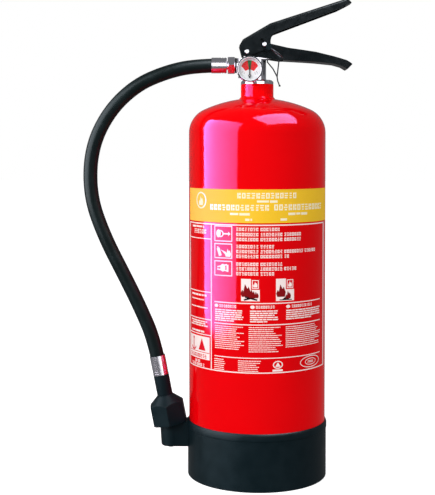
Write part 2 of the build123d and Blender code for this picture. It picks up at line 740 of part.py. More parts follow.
def nozzle_holder():
    """The cup on the skirt's left that holds the parked nozzle's outlet tube."""
    foot_s = head_end_s + 26.0
    foot_x = park_x + foot_s * sin(tilt) - cup_shift
    foot_z = park_z - foot_s * cos(tilt)
    cup = turned([
        (0, -2.4), (4.0, -2.4), (4.0, 0), (cup_radius - 1.5, 0), (cup_radius, 1.5),
        (cup_radius, 40), (0, 40),
    ])
    body = Pos(foot_x, 0, foot_z) * Rot(0, -cup_lean, 0) * cup
    bridge_top_z = skirt_height + 5.0
    body += brick((foot_x, 0), (-11.0, 11.0), (foot_z, bridge_top_z))
    body -= rod(skirt_outer, 0, bridge_top_z + 10)
    body -= rod(skirt_rim, rim_foot_z, bridge_top_z + 10)
    above = nozzle_frame * brick((-60, 60), (-60, 60), (0, cup_top_s))
    return body - above - nozzle_frame * rod(outlet_tube_radius + running, 0, tube_end_s + 0.5)


def front_label():
    """The thin printed label, wrapped round the front."""
    band = revolve(
        make_face(Polyline((tank_radius, 0, label_foot_z), (tank_radius + label_thickness, 0, label_foot_z),
                           (tank_radius + label_thickness, 0, label_top_z), (tank_radius, 0, label_top_z),
                           close=True)),
        Axis.Z, revolution_arc=label_angle,
    )
    return Rot(0, 0, -90 - label_angle / 2) * band


pieces = [
    cylinder_shell, bottom_dome, neck_boss, neck_o_ring, foam_charge,
    valve_body, stem, stem_seal, stem_o_ring, stem_spring, spring_retainer, dip_tube, dip_tube_strainer,
    gauge_case, gauge_o_ring, gauge_dial, gauge_lens, gauge_needle, bourdon_tube,
    carry_handle, squeeze_lever, pivot_pin, handle_rivet,
    safety_pin, pin_tab, pull_ring, tamper_seal,
    outlet_o_ring, outlet_washer, hose_nut, hose_tail, ferrule_valve_end,
    hose, ferrule_nozzle_end, nozzle_shank, nozzle_head, nozzle_tube, nozzle_jet,
    base_skirt, nozzle_holder, front_label,
]

for piece in pieces:
    export_step(piece(), f"parts/{piece.__name__}.step")
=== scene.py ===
"""Looks of a six-litre stored-pressure foam extinguisher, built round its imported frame."""

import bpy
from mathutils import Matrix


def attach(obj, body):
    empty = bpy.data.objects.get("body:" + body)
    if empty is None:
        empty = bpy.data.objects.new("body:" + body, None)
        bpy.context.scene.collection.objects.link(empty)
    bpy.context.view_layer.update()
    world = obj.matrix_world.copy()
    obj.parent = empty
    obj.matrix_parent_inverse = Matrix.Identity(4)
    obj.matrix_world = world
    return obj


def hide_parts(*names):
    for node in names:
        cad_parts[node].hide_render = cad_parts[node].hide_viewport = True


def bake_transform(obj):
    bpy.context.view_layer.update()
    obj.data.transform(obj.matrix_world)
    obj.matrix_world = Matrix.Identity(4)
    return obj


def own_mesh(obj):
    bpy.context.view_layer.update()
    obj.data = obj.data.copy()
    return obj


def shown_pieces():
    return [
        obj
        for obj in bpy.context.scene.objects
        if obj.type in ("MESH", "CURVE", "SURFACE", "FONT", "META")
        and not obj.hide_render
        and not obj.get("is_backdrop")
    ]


bl_info = {
    "name": "Foam extinguisher looks",
    "version": (1, 0, 0),
    "blender": (4, 5, 0),
    "location": "View3D > Sidebar > Extinguisher",
    "description": "Finishes, hose, label print and studio for a jointed extinguisher",
    "category": "Object",
}

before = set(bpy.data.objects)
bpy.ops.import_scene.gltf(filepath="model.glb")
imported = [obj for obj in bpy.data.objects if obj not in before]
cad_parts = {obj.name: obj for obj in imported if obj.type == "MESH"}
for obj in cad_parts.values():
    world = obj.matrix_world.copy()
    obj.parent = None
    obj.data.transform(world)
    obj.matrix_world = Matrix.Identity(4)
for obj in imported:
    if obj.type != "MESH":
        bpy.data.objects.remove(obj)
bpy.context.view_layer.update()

import math
import random

import bmesh
import bpy
from mathutils import Matrix, Vector

MM = 0.001

# The hose's route in the plane Y = 0: (x, z) in metres, valve end first.
HOSE_ROUTE = [
    (-0.0370, 0.4800), (-0.0710, 0.4800), (-0.1065, 0.4725), (-0.1430, 0.4565), (-0.1750, 0.4250),
    (-0.1950, 0.3820), (-0.1965, 0.3280), (-0.1800, 0.2800), (-0.1540, 0.2290),
    (-0.1360, 0.1920), (-0.1208, 0.1555), (-0.1136, 0.1184),
]
HOSE_DIAMETER = 0.0165

# The label, in millimetres round the tank from the middle of the front, and up from the foot.
FILM_RADIUS = 80.2
LABEL_LEFT, LABEL_RIGHT = -107.6, 107.6
LABEL_FOOT, LABEL_TOP = 132.7, 337.9
STRIP = 4.0                     # wrapped print is cut in strips this wide

# The dial: middle and needle pivot in the plane of the front, in millimetres.
DIAL_X, DIAL_Z = -9.5, 474.0
PIVOT_Z = 466.5
DIAL_FACE_Y = -23.70
DIAL_RADIUS = 10.5


# The camera, in metres and degrees, standing a little above the middle of the tank.
CAMERA_PLACE = (-0.0465, -1.272, 0.381)
CAMERA_LENS_MM, SENSOR_MM = 78.74, 36.0
CAMERA_DIP = 1.88
CAMERA_SHIFT_Y = -0.125

# The studio's panels are aimed at a point inside the tank. Each kind of finish has its own
# panels, so gloss paint, black satin and bright metal are lit apart: (name, place, size,
# setting that holds the power, colour, kind of finish, whether it fades across).
AIM = (0, 0, 0.28)
LEFT, ABOVE = (-1.27, -0.54, 0.68), (0.62, -0.62, 1.62)
LEFT_SIZE, ABOVE_SIZE = (1.9, 1.6), (1.5, 1.15)
LILAC, VIOLET, COOL = (0.92, 0.44, 0.86), (0.90, 0.40, 1.0), (0.86, 0.93, 1.0)
PANELS = [
    ("gloss_panel_left", LEFT, LEFT_SIZE, "gloss_left", LILAC, "gloss", True),
    ("gloss_panel_above", ABOVE, ABOVE_SIZE, "gloss_above", VIOLET, "gloss", False),
    ("satin_panel_left", LEFT, LEFT_SIZE, "satin_left", COOL, "satin", False),
    ("satin_panel_above", ABOVE, ABOVE_SIZE, "satin_above", COOL, "satin", False),
    ("metal_panel_left", LEFT, LEFT_SIZE, "metal_left", (1, 0.95, 1), "metal", False),
    ("metal_panel_front", (0.9, -2.2, 0.9), (2.4, 2.2), "metal_front", (1, 1, 1), "metal", False),
    ("key_light", (-1.5, -1.5, 1.5), (1.4, 1.4), "key_power", (1, 0.99, 0.98), None, False),
    ("fill_light", (1.2, -2.2, 1.6), (1.6, 1.2), "fill_power", (1, 1, 1), None, False),
]


# ---- small tools ------------------------------------------------------------------------
def linear(code):
    """An sRGB hex colour as linear red, green, blue and alpha."""
    channels = [int(code[i:i + 2], 16) / 255 for i in (1, 3, 5)]
    return tuple(
        c / 12.92 if c <= 0.04045 else ((c + 0.055) / 1.055) ** 2.4 for c in channels
    ) + (1.0,)


def add_node(tree, kind, settings=None, sockets=None, links=None):
    """Adds a node with its settings, its inputs' values and its inputs' links."""
    node = tree.nodes.new(kind)
    for key, value in (settings or {}).items():
        setattr(node, key, value)
    for key, value in (sockets or {}).items():
        node.inputs[key].default_value = value
    for key, (source, output) in (links or {}).items():
        tree.links.new(source.outputs[output], node.inputs[key])
    return node


def finish(name, colour, tone, patch_mm, roughness, bump=None, stretch=(1, 1, 1), **sockets):
    """A material for one real finish. Its colour drifts from colour to tone over patches of
    patch_mm, its roughness drifts between two values, and bump is (grain_mm, depth_mm)."""
    made = bpy.data.materials.get(name)
    if made:
        return made
    made = bpy.data.materials.new(name)
    made.use_nodes = True
    tree = made.node_tree
    tree.nodes.clear()
    fixed = {key.replace("_", " "): value for key, value in sockets.items()}
    shader = add_node(tree, "ShaderNodeBsdfPrincipled", sockets=fixed)
    add_node(tree, "ShaderNodeOutputMaterial", links={"Surface": (shader, "BSDF")})
    place = add_node(tree, "ShaderNodeTexCoord")
    spread = add_node(tree, "ShaderNodeMapping", sockets={"Scale": stretch},
                      links={"Vector": (place, "Object")})
    drift = add_node(tree, "ShaderNodeTexNoise", sockets={"Scale": 1 / (patch_mm * MM), "Detail": 3.0},
                     links={"Vector": (spread, "Vector")})
    mix = add_node(tree, "ShaderNodeMix", {"data_type": "RGBA"}, links={0: (drift, "Fac")})
    mix.inputs[6].default_value = linear(colour)
    mix.inputs[7].default_value = linear(tone)
    tree.links.new(mix.outputs[2], shader.inputs["Base Color"])
    gloss = add_node(tree, "ShaderNodeMapRange",
                     sockets={"From Min": 0.3, "From Max": 0.7, "To Min": roughness[0], "To Max": roughness[1]},
                     links={"Value": (drift, "Fac")})
    tree.links.new(gloss.outputs["Result"], shader.inputs["Roughness"])
    if bump:
        grain = add_node(tree, "ShaderNodeTexNoise", sockets={"Scale": 1 / (bump[0] * MM), "Detail": 2.0},
                         links={"Vector": (spread, "Vector")})
        relief = add_node(tree, "ShaderNodeBump", sockets={"Strength": 1.0, "Distance": bump[1] * MM},
                          links={"Height": (grain, "Fac")})
        tree.links.new(relief.outputs["Normal"], shader.inputs["Normal"])
    return made


def dress(node, material):
    """Gives a CAD node that stays in view its material."""
    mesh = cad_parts[node].data
    mesh.materials.clear()
    mesh.materials.append(material)


def new_piece(name, mesh, material, body):
    """Puts a mesh in the scene as a piece that rides on a body."""
    piece = bpy.data.objects.new(name, mesh)
    bpy.context.scene.collection.objects.link(piece)
    mesh.materials.clear()
    mesh.materials.append(material)
    if body:
        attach(piece, body)
    return piece


def softened(node, name, body, material, edge_mm, heavy=None, heavy_mm=0.0):
    """A copy of a CAD node with rounded edges, in the node's place. The edges that heavy
    picks, from their two faces and middle, are rounded by heavy_mm."""
    form = bmesh.new()
    form.from_mesh(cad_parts[node].data)
    bmesh.ops.remove_doubles(form, verts=form.verts, dist=2e-6)
    bmesh.ops.dissolve_limit(form, angle_limit=math.radians(0.5), verts=form.verts, edges=form.edges)
    form.edges.ensure_lookup_table()
    form.verts.index_update()
    widest = max(edge_mm, heavy_mm)
    weights = []
    for edge in form.edges:
        weight = 0.0
        if len(edge.link_faces) == 2 and edge.calc_face_angle(0) > math.radians(28):
            weight = edge_mm / widest
            if heavy and heavy(edge):
                weight = heavy_mm / widest
        if weight:
            weights.append((tuple(sorted(v.index for v in edge.verts)), weight))
    mesh = bpy.data.meshes.new(name)
    mesh.from_pydata([v.co[:] for v in form.verts], [], [[v.index for v in f.verts] for f in form.faces])
    form.free()
    chosen = dict(weights)
    marks = mesh.attributes.new("bevel_weight_edge", "FLOAT", "EDGE")
    for edge in mesh.edges:
        marks.data[edge.index].value = chosen.get(tuple(sorted(edge.vertices)), 0.0)
    mesh.shade_smooth()
    mesh.set_sharp_from_angle(angle=math.radians(28))
    piece = new_piece(name, mesh, material, body)
    rounding = piece.modifiers.new("rounding", "BEVEL")
    rounding.limit_method = "WEIGHT"
    rounding.width = widest * MM
    rounding.segments = 3
    rounding.use_clamp_overlap = True
    rounding.harden_normals = True
    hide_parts(node)
    return piece


def tube_mesh(name, points, radius, sides):
    """A closed round tube along points in the plane Y = 0."""
    form = bmesh.new()
    rings = []
    for index, point in enumerate(points):
        before, after = points[max(index - 1, 0)], points[min(index + 1, len(points) - 1)]
        way = (after - before).normalized()
        across = Vector((0, 1, 0))
        up = across.cross(way)
        rings.append([
            form.verts.new(point + radius * (math.cos(a) * across + math.sin(a) * up))
            for a in (2 * math.pi * k / sides for k in range(sides))
        ])
    for low, high in zip(rings, rings[1:]):
        for k in range(sides):
            form.faces.new((low[k], low[(k + 1) % sides], high[(k + 1) % sides], high[k]))
    form.faces.new(rings[0][::-1])
    form.faces.new(rings[-1])
    bmesh.ops.recalc_face_normals(form, faces=form.faces)
    mesh = bpy.data.meshes.new(name)
    form.to_mesh(mesh)
    form.free()
    mesh.shade_smooth()
    return mesh


# ---- finishes -------------------------------------------------------------------------------
def red_powder_coat():
    # Polyester powder coat, baked at high gloss: a deep even red with a faint orange peel.
    red = bpy.context.scene.extinguisher_colours.tank
    return finish("powder_coat_gloss_red", red, "#E60006", 60, (0.05, 0.09), bump=(2.2, 0.008),
                  IOR=1.5, Specular_IOR_Level=0.11)


def black_powder_coat():
    # Epoxy powder coat on pressed steel: satin blue-black with fine texture that softens light.
    return finish("powder_coat_satin_black", "#050C0F", "#091216", 9, (0.26, 0.38), bump=(0.9, 0.02),
                  IOR=1.5, Specular_IOR_Level=0.2)


def moulded_black():
    # Injection-moulded polypropylene, spark-eroded tool: dark, even, softly shining grain.
    return finish("polypropylene_moulded_black", "#06151A", "#0A1C22", 14, (0.34, 0.46), bump=(0.7, 0.025),
                  IOR=1.49, Specular_IOR_Level=0.12)


def chrome_plate():
    # Nickel-chrome plated brass forging: a bright mirror with slight waviness of the forging.
    return finish("chrome_plate_polished", "#E9E6EE", "#DDDDE6", 12, (0.05, 0.12), bump=(3.0, 0.02),
                  Metallic=1.0)


def turned_aluminium():
    # Turned and clear-anodised aluminium: pale satin metal with fine rings from the tool.
    return finish("aluminium_turned_anodised", "#E8E6EE", "#D6D5DE", 5, (0.16, 0.28), bump=(0.35, 0.006),
                  Metallic=1.0)


def hose_rubber():
    # EPDM hose cover, cured in a wrapped cloth: satin blue-black with a fine impressed weave.
    return finish("rubber_epdm_hose_cover", "#05100F", "#08181A", 20, (0.30, 0.40), bump=(0.8, 0.02),
                  IOR=1.52, Specular_IOR_Level=0.16)


def seal_rubber():
    # Moulded nitrile O-ring rubber: dull black with a soft bloom.
    return finish("rubber_nitrile_moulded", "#0C0F10", "#16191A", 3, (0.45, 0.6), bump=(0.4, 0.01), IOR=1.52,
                  Specular_IOR_Level=0.15)


def zinc_steel():
    # Zinc-plated steel wire and pin: bright grey with drawn streaks.
    return finish("steel_zinc_plated", "#D9DADF", "#BFC2CA", 2, (0.16, 0.30), bump=(0.3, 0.005), Metallic=1.0)


def spring_wire():
    # Phosphated spring steel wire: dark grey and dull, with fine drawn lines.
    return finish("steel_wire_phosphated", "#62656B", "#515459", 2, (0.34, 0.46), bump=(0.3, 0.005), Metallic=1.0)


def turned_brass():
    # Machined brass: warm yellow metal with cutter marks.
    return finish("brass_machined", "#D8B466", "#C69F52", 3, (0.2, 0.34), bump=(0.3, 0.006), Metallic=1.0)


def natural_pipe():
    # Extruded natural polypropylene: milky, slightly see-through.
    return finish("polypropylene_extruded_natural", "#E4E8E6", "#D3D9D6", 15, (0.3, 0.42), IOR=1.49,
                  Transmission_Weight=0.25)


def foam_concentrate():
    # Foam premix: a pale straw liquid.
    return finish("foam_premix_liquid", "#D9C68C", "#CDB878", 30, (0.05, 0.1), IOR=1.34, Transmission_Weight=0.6)


def seal_strand():
    # Extruded nylon strand of the tamper seal: smooth black thread.
    return finish("nylon_extruded_black", "#0B0E10", "#15191C", 3, (0.3, 0.4), IOR=1.53)


def printed_film():
    # Reverse-printed polyester film with a gloss laminate: flat red ink under a clear skin.
    red = bpy.context.scene.extinguisher_colours.film
    return finish("polyester_film_printed_red", red, "#E00006", 45, (0.06, 0.11), bump=(3.5, 0.005),
                  IOR=1.5, Specular_IOR_Level=0.11)


def film_ink(name, colour, tone, gloss=0.1):
    # Screen ink under the film's laminate: flat colour, faintly uneven where the screen left less.
    return finish("screen_ink_" + name, colour, tone, 1.2, (gloss, gloss + 0.08), IOR=1.5,
                  Specular_IOR_Level=0.11)


def white_enamel():
    # Baked white enamel on the dial plate: clean white with faint waviness.
    return finish("enamel_baked_white", "#F4F5F6", "#E9ECEF", 4, (0.25, 0.35), bump=(0.8, 0.004), IOR=1.5,
                  Specular_IOR_Level=0.12)


def dial_ink(name, colour, tone):
    # Pad-printed ink on enamel: flat colour with soft cover.
    return finish("pad_ink_" + name, colour, tone, 0.8, (0.35, 0.45), IOR=1.5, Specular_IOR_Level=0.12)


def clear_window():
    # Cast acrylic window: nearly nothing but its reflection.
    return finish("acrylic_cast_clear", "#FFFFFF", "#F4F8FA", 8, (0.02, 0.05), IOR=1.49, Alpha=0.015,
                  Specular_IOR_Level=0.1)


def studio_paper():
    # Matt paper roll: even off-white with fine tooth.
    return finish("paper_matt_white", "#F6F6F6", "#F2F2F3", 40, (0.85, 0.95), bump=(0.6, 0.01), IOR=1.4,
                  Specular_IOR_Level=0.1, Emission_Color=linear("#FFFFFF"), Emission_Strength=0.62)


# ---- flat print -----------------------------------------------------------------------------
def block(left, low, right, high):
    """A rectangle as four corners."""
    return [(left, low), (right, low), (right, high), (left, high)]


def outline(left, low, right, high, line):
    """A rectangle drawn as four bars."""
    return [
        block(left, low, right, low + line), block(left, high - line, right, high),
        block(left, low + line, left + line, high - line), block(right - line, low + line, right, high - line),
    ]


def disc(x, y, width, height, steps=20):
    """An ellipse."""
    turn = 2 * math.pi / steps
    return [(x + width / 2 * math.cos(k * turn), y + height / 2 * math.sin(k * turn)) for k in range(steps)]


def hoop(x, y, width, height, line, steps=24):
    """An elliptical ring as short bars."""
    turn = 2 * math.pi / steps
    parts = []
    for k in range(steps):
        a, b = k * turn, (k + 1) * turn
        parts.append([
            (x + width / 2 * math.cos(a), y + height / 2 * math.sin(a)),
            (x + width / 2 * math.cos(b), y + height / 2 * math.sin(b)),
            (x + (width / 2 - line) * math.cos(b), y + (height / 2 - line) * math.sin(b)),
            (x + (width / 2 - line) * math.cos(a), y + (height / 2 - line) * math.sin(a)),
        ])
    return parts


def shape(points, x, y, scale=1.0, turn=0.0):
    """A corner list moved, scaled and turned."""
    c, s = math.cos(math.radians(turn)), math.sin(math.radians(turn))
    return [(x + scale * (c * u - s * v), y + scale * (s * u + c * v)) for u, v in points]


FLAME = [(-2.6, 0), (-3.4, 2.2), (-2.4, 4.6), (-1.6, 3.4), (-0.6, 8.2), (1.0, 5.2), (1.8, 6.6), (3.2, 3.0), (2.6, 0)]


def blind_glyph(rng, left, low, width, height):
    """One blind letter: stacked bars, a hollow box, or a post with two dabs."""
    kind = rng.choice("ABDAD")
    thick = height * 0.22
    if kind == "A":
        rows = [low, low + (height - thick) / 2, low + height - thick]
        return [block(left + rng.choice((0, 0.2)) * width, y, left + width * rng.choice((1, 0.85)), y + thick)
                for y in rows]
    if kind == "B":
        return outline(left, low, left + width, low + height, thick)
    post = width * 0.36
    return [
        block(left, low, left + post, low + height),
        block(left + post * 1.35, low, left + width, low + height * 0.42),
        block(left + post * 1.35, low + height * 0.58, left + width, low + height),
    ]


def blind_title(rng, left, low, right, high, word=7):
    """A line of large blind lettering."""
    height = high - low
    width, gap = height * 0.66, height * 0.2
    parts, x, count = [], left, 0
    while x + width <= right + 0.01:
        parts += blind_glyph(rng, x, low, width, height)
        count += 1
        x += width + (gap if count % word else gap + height * 0.45)
    return parts


def blind_line(rng, left, right, low, height):
    """A line of small blind lettering: words as bars of random length."""
    parts, x = [], left
    while x < right - height * 0.6:
        word = min(rng.uniform(1.6, 6.0) * height, right - x)
        parts.append(block(x, low + height * rng.choice((0, 0, 0.12)), x + word, low + height))
        x += word + height * 0.45
    return parts


def wrapped_print(name, parts, material, layer):
    """Flat print wrapped round the tank on top of the film, layer by layer."""
    form = bmesh.new()
    for part in parts:
        form.faces.new([form.verts.new((u, 0, v)) for u, v in part])
    low = min(v.co.x for v in form.verts)
    high = max(v.co.x for v in form.verts)
    cut = math.ceil(low / STRIP) * STRIP
    while cut < high:
        whole = form.verts[:] + form.edges[:] + form.faces[:]
        bmesh.ops.bisect_plane(form, geom=whole, plane_co=(cut, 0, 0), plane_no=(1, 0, 0), dist=1e-5)
        cut += STRIP
    radius = FILM_RADIUS + 0.07 + 0.045 * layer
    for v in form.verts:
        angle = v.co.x / FILM_RADIUS
        v.co = Vector((radius * math.sin(angle), -radius * math.cos(angle), v.co.z)) * MM
    form.normal_update()
    for face in form.faces:
        middle = face.calc_center_median()
        if face.normal.x * middle.x + face.normal.y * middle.y < 0:
            face.normal_flip()
    mesh = bpy.data.meshes.new(name)
    form.to_mesh(mesh)
    form.free()
    piece = new_piece(name, mesh, material, "cylinder")
    skin = piece.modifiers.new("skin", "SOLIDIFY")
    skin.thickness = 0.04 * MM
    skin.offset = -1
    return piece


def dial_print(name, parts, material, layer):
    """Flat print on the dial plate."""
    form = bmesh.new()
    y = (DIAL_FACE_Y - 0.06 - 0.04 * layer) * MM
    for part in parts:
        face = form.faces.new([form.verts.new((u * MM, y, v * MM)) for u, v in part])
        face.normal_update()
        if face.normal.y > 0:
            face.normal_flip()
    mesh = bpy.data.meshes.new(name)
    form.to_mesh(mesh)
    form.free()
    piece = new_piece(name, mesh, material, "cylinder")
    skin = piece.modifiers.new("skin", "SOLIDIFY")
    skin.thickness = 0.035 * MM
    skin.offset = -1
    return piece


# ---- settings ---------------------------------------------------------------------------------
class ExtinguisherColours(bpy.types.PropertyGroup):
    """Colours of the finishes that change from maker to maker, as sRGB codes."""
    tank: bpy.props.StringProperty(name="Tank", description="Powder coat of the tank, as a hex code",
                                   default="#F40008")
    film: bpy.props.StringProperty(name="Label", description="Ground colour of the label, as a hex code",
                                   default="#EA000A")
    band: bpy.props.StringProperty(name="Band", description="Colour of the label's agent band, as a hex code",
                                   default="#F8CA00")


class ExtinguisherSizes(bpy.types.PropertyGroup):
    """Sizes that the looks add to the frame."""
    pressed_edge: bpy.props.FloatProperty(name="Pressed edge", description="Rounding of pressed steel edges",
                                          default=0.5 * MM, unit="LENGTH", subtype="DISTANCE", precision=4)
    web_edge: bpy.props.FloatProperty(name="Web edge", description="Rounding under the carry handle",
                                      default=2.2 * MM, unit="LENGTH", subtype="DISTANCE", precision=4)
    moulded_edge: bpy.props.FloatProperty(name="Moulded edge", description="Rounding of moulded plastic edges",
                                          default=0.9 * MM, unit="LENGTH", subtype="DISTANCE", precision=4)


class ExtinguisherStudio(bpy.types.PropertyGroup):
    """Light of the studio."""
    gloss_left: bpy.props.FloatProperty(name="Gloss, left", description="Panel mirrored in the gloss paint",
                                        default=540.0, unit="POWER")
    gloss_above: bpy.props.FloatProperty(name="Gloss, above", description="Panel mirrored in the shoulder",
                                         default=220.0, unit="POWER")
    satin_left: bpy.props.FloatProperty(name="Satin, left", description="Panel that models the black pieces",
                                        default=70.0, unit="POWER")
    satin_above: bpy.props.FloatProperty(name="Satin, above", description="Panel on the black pieces from above",
                                         default=130.0, unit="POWER")
    metal_left: bpy.props.FloatProperty(name="Metal, left", description="Panel mirrored in bright metal",
                                        default=38.0, unit="POWER")
    metal_front: bpy.props.FloatProperty(name="Metal, front", description="Front panel mirrored in bright metal",
                                         default=36.0, unit="POWER")
    key_power: bpy.props.FloatProperty(name="Key", description="Power of the soft light at the front left",
                                       default=40.0, unit="POWER")
    fill_power: bpy.props.FloatProperty(name="Fill", description="Power of the soft light at the front right",
                                        default=13.0, unit="POWER")
    room: bpy.props.FloatProperty(name="Room", description="Strength of the room's light", default=0.55, min=0.0)
    mirrored: bpy.props.FloatProperty(name="Mirrored room", description="Strength of the room in reflections",
                                      default=0.2, min=0.0)


# ---- the studio -------------------------------------------------------------------------------
GLOSS = ("powder_coat_gloss", "polyester_film", "screen_ink")
METAL = ("chrome", "aluminium", "steel", "brass")


def receivers(kind):
    """The collection of pieces that one kind of panel shines on."""
    found = bpy.data.collections.get("lit_" + kind)
    return found or bpy.data.collections.new("lit_" + kind)


def sort_receivers():
    """Puts each piece with the panels for its finish."""
    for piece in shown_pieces():
        finish_name = piece.data.materials[0].name
        kind = "satin"
        if finish_name.startswith(GLOSS):
            kind = "gloss"
        elif finish_name.startswith(METAL):
            kind = "metal"
        receivers(kind).objects.link(piece)


class EXTINGUISHER_OT_studio(bpy.types.Operator):
    """Make the camera, the pale floor and the soft lights"""
    bl_idname = "extinguisher.studio"
    bl_label = "Studio"

    def execute(self, context):
        scene = context.scene
        settings = scene.extinguisher_studio
        lens = bpy.data.cameras.new("camera")
        lens.sensor_width = SENSOR_MM
        lens.lens = CAMERA_LENS_MM
        lens.shift_y = CAMERA_SHIFT_Y
        lens.clip_start, lens.clip_end = 0.05, 60.0
        camera = bpy.data.objects.new("camera", lens)
        camera.location = CAMERA_PLACE
        camera.rotation_euler = (math.radians(90.0 - CAMERA_DIP), 0, 0)
        scene.collection.objects.link(camera)
        scene.camera = camera
        scene.view_settings.view_transform = "Standard"

        mesh = bpy.data.meshes.new("floor")
        far = 12.0
        corners = [(-far, -far, 0), (far, -far, 0), (far, far, 0), (-far, far, 0)]
        mesh.from_pydata(corners, [], [(0, 1, 2, 3)])
        floor = bpy.data.objects.new("floor", mesh)
        mesh.materials.append(studio_paper())
        scene.collection.objects.link(floor)
        floor.visible_glossy = False      # the paper lights nothing, so the low parts stay deep
        floor.visible_diffuse = False
        floor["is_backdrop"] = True

        world = bpy.data.worlds.new("studio_room")
        scene.world = world
        world.use_nodes = True
        tree = world.node_tree
        tree.nodes.clear()
        ray = add_node(tree, "ShaderNodeLightPath")
        room, mirrored, seen = [
            add_node(tree, "ShaderNodeBackground", sockets={"Color": colour, "Strength": strength})
            for colour, strength in (
                ((0.96, 0.98, 1.0, 1), settings.room), ((0.97, 0.98, 1.0, 1), settings.mirrored), ((1, 1, 1, 1), 1.0),
            )
        ]
        lit = add_node(tree, "ShaderNodeMixShader",
                       links={0: (ray, "Is Glossy Ray"), 1: (room, 0), 2: (mirrored, 0)})
        both = add_node(tree, "ShaderNodeMixShader",
                        links={0: (ray, "Is Camera Ray"), 1: (lit, 0), 2: (seen, 0)})
        add_node(tree, "ShaderNodeOutputWorld", links={"Surface": (both, 0)})

        for name, place, size, power, colour, rays, fades in PANELS:
            self.softbox(name, place, size, getattr(settings, power), colour, rays, fades)
        return {"FINISHED"}

    def softbox(self, name, place, size, power, colour, rays, fades):
        lamp = bpy.data.lights.new(name, "AREA")
        lamp.shape = "RECTANGLE"
        lamp.size, lamp.size_y = size
        lamp.energy = power
        lamp.color = colour
        if fades:
            lamp.use_nodes = True
            tree = lamp.node_tree
            tree.nodes.clear()
            across = add_node(tree, "ShaderNodeNewGeometry")
            parts = add_node(tree, "ShaderNodeSeparateXYZ", links={0: (across, "Parametric")})
            ramp = add_node(tree, "ShaderNodeMapRange",
                            sockets={"From Min": 0.0, "From Max": 1.0, "To Min": 1.5, "To Max": 0.5},
                            links={"Value": (parts, "X")})
            glow = add_node(tree, "ShaderNodeEmission", sockets={"Color": (*colour, 1)},
                            links={"Strength": (ramp, 0)})
            add_node(tree, "ShaderNodeOutputLight", links={"Surface": (glow, 0)})
        light = bpy.data.objects.new(name, lamp)
        light.location = place
        light.rotation_euler = (Vector(place) - Vector(AIM)).to_track_quat("Z", "Y").to_euler()
        light.visible_camera = False
        light.visible_glossy = rays is not None
        light.visible_diffuse = rays is None
        if rays:
            light.light_linking.receiver_collection = receivers(rays)
        bpy.context.scene.collection.objects.link(light)


# ---- the hose -------------------------------------------------------------------------------
class EXTINGUISHER_OT_hose(bpy.types.Operator):
    """Lay the hose from the outlet down to the parked nozzle"""
    bl_idname = "extinguisher.hose"
    bl_label = "Hose"

    def execute(self, context):
        line = bpy.data.curves.new("hose_line", "CURVE")
        line.dimensions = "3D"
        spline = line.splines.new("NURBS")
        spline.points.add(len(HOSE_ROUTE) - 1)
        for point, (x, z) in zip(spline.points, HOSE_ROUTE):
            point.co = (x, 0, z, 1)
        spline.order_u = 3
        spline.use_endpoint_u = True
        spline.resolution_u = 16
        guide = bpy.data.objects.new("hose_line", line)
        context.scene.collection.objects.link(guide)
        context.view_layer.update()
        walked = bpy.data.meshes.new_from_object(guide)
        points = [v.co.copy() for v in walked.vertices]
        bpy.data.objects.remove(guide)
        mesh = tube_mesh("rubber_hose", points, HOSE_DIAMETER / 2, 48)
        piece = new_piece("rubber_hose", mesh, hose_rubber(), None)
        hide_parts("hose")
        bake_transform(piece)
        return {"FINISHED"}


# ---- the tank -------------------------------------------------------------------------------
class EXTINGUISHER_OT_tank(bpy.types.Operator):
    """Finish the tank, its neck and what it holds"""
    bl_idname = "extinguisher.tank"
    bl_label = "Tank"

    def execute(self, context):
        for node in ("cylinder_shell", "bottom_dome", "neck_boss"):
            dress(node, red_powder_coat())
        dress("neck_o_ring", seal_rubber())
        dress("foam_charge", foam_concentrate())
        dress("front_label", printed_film())
        return {"FINISHED"}


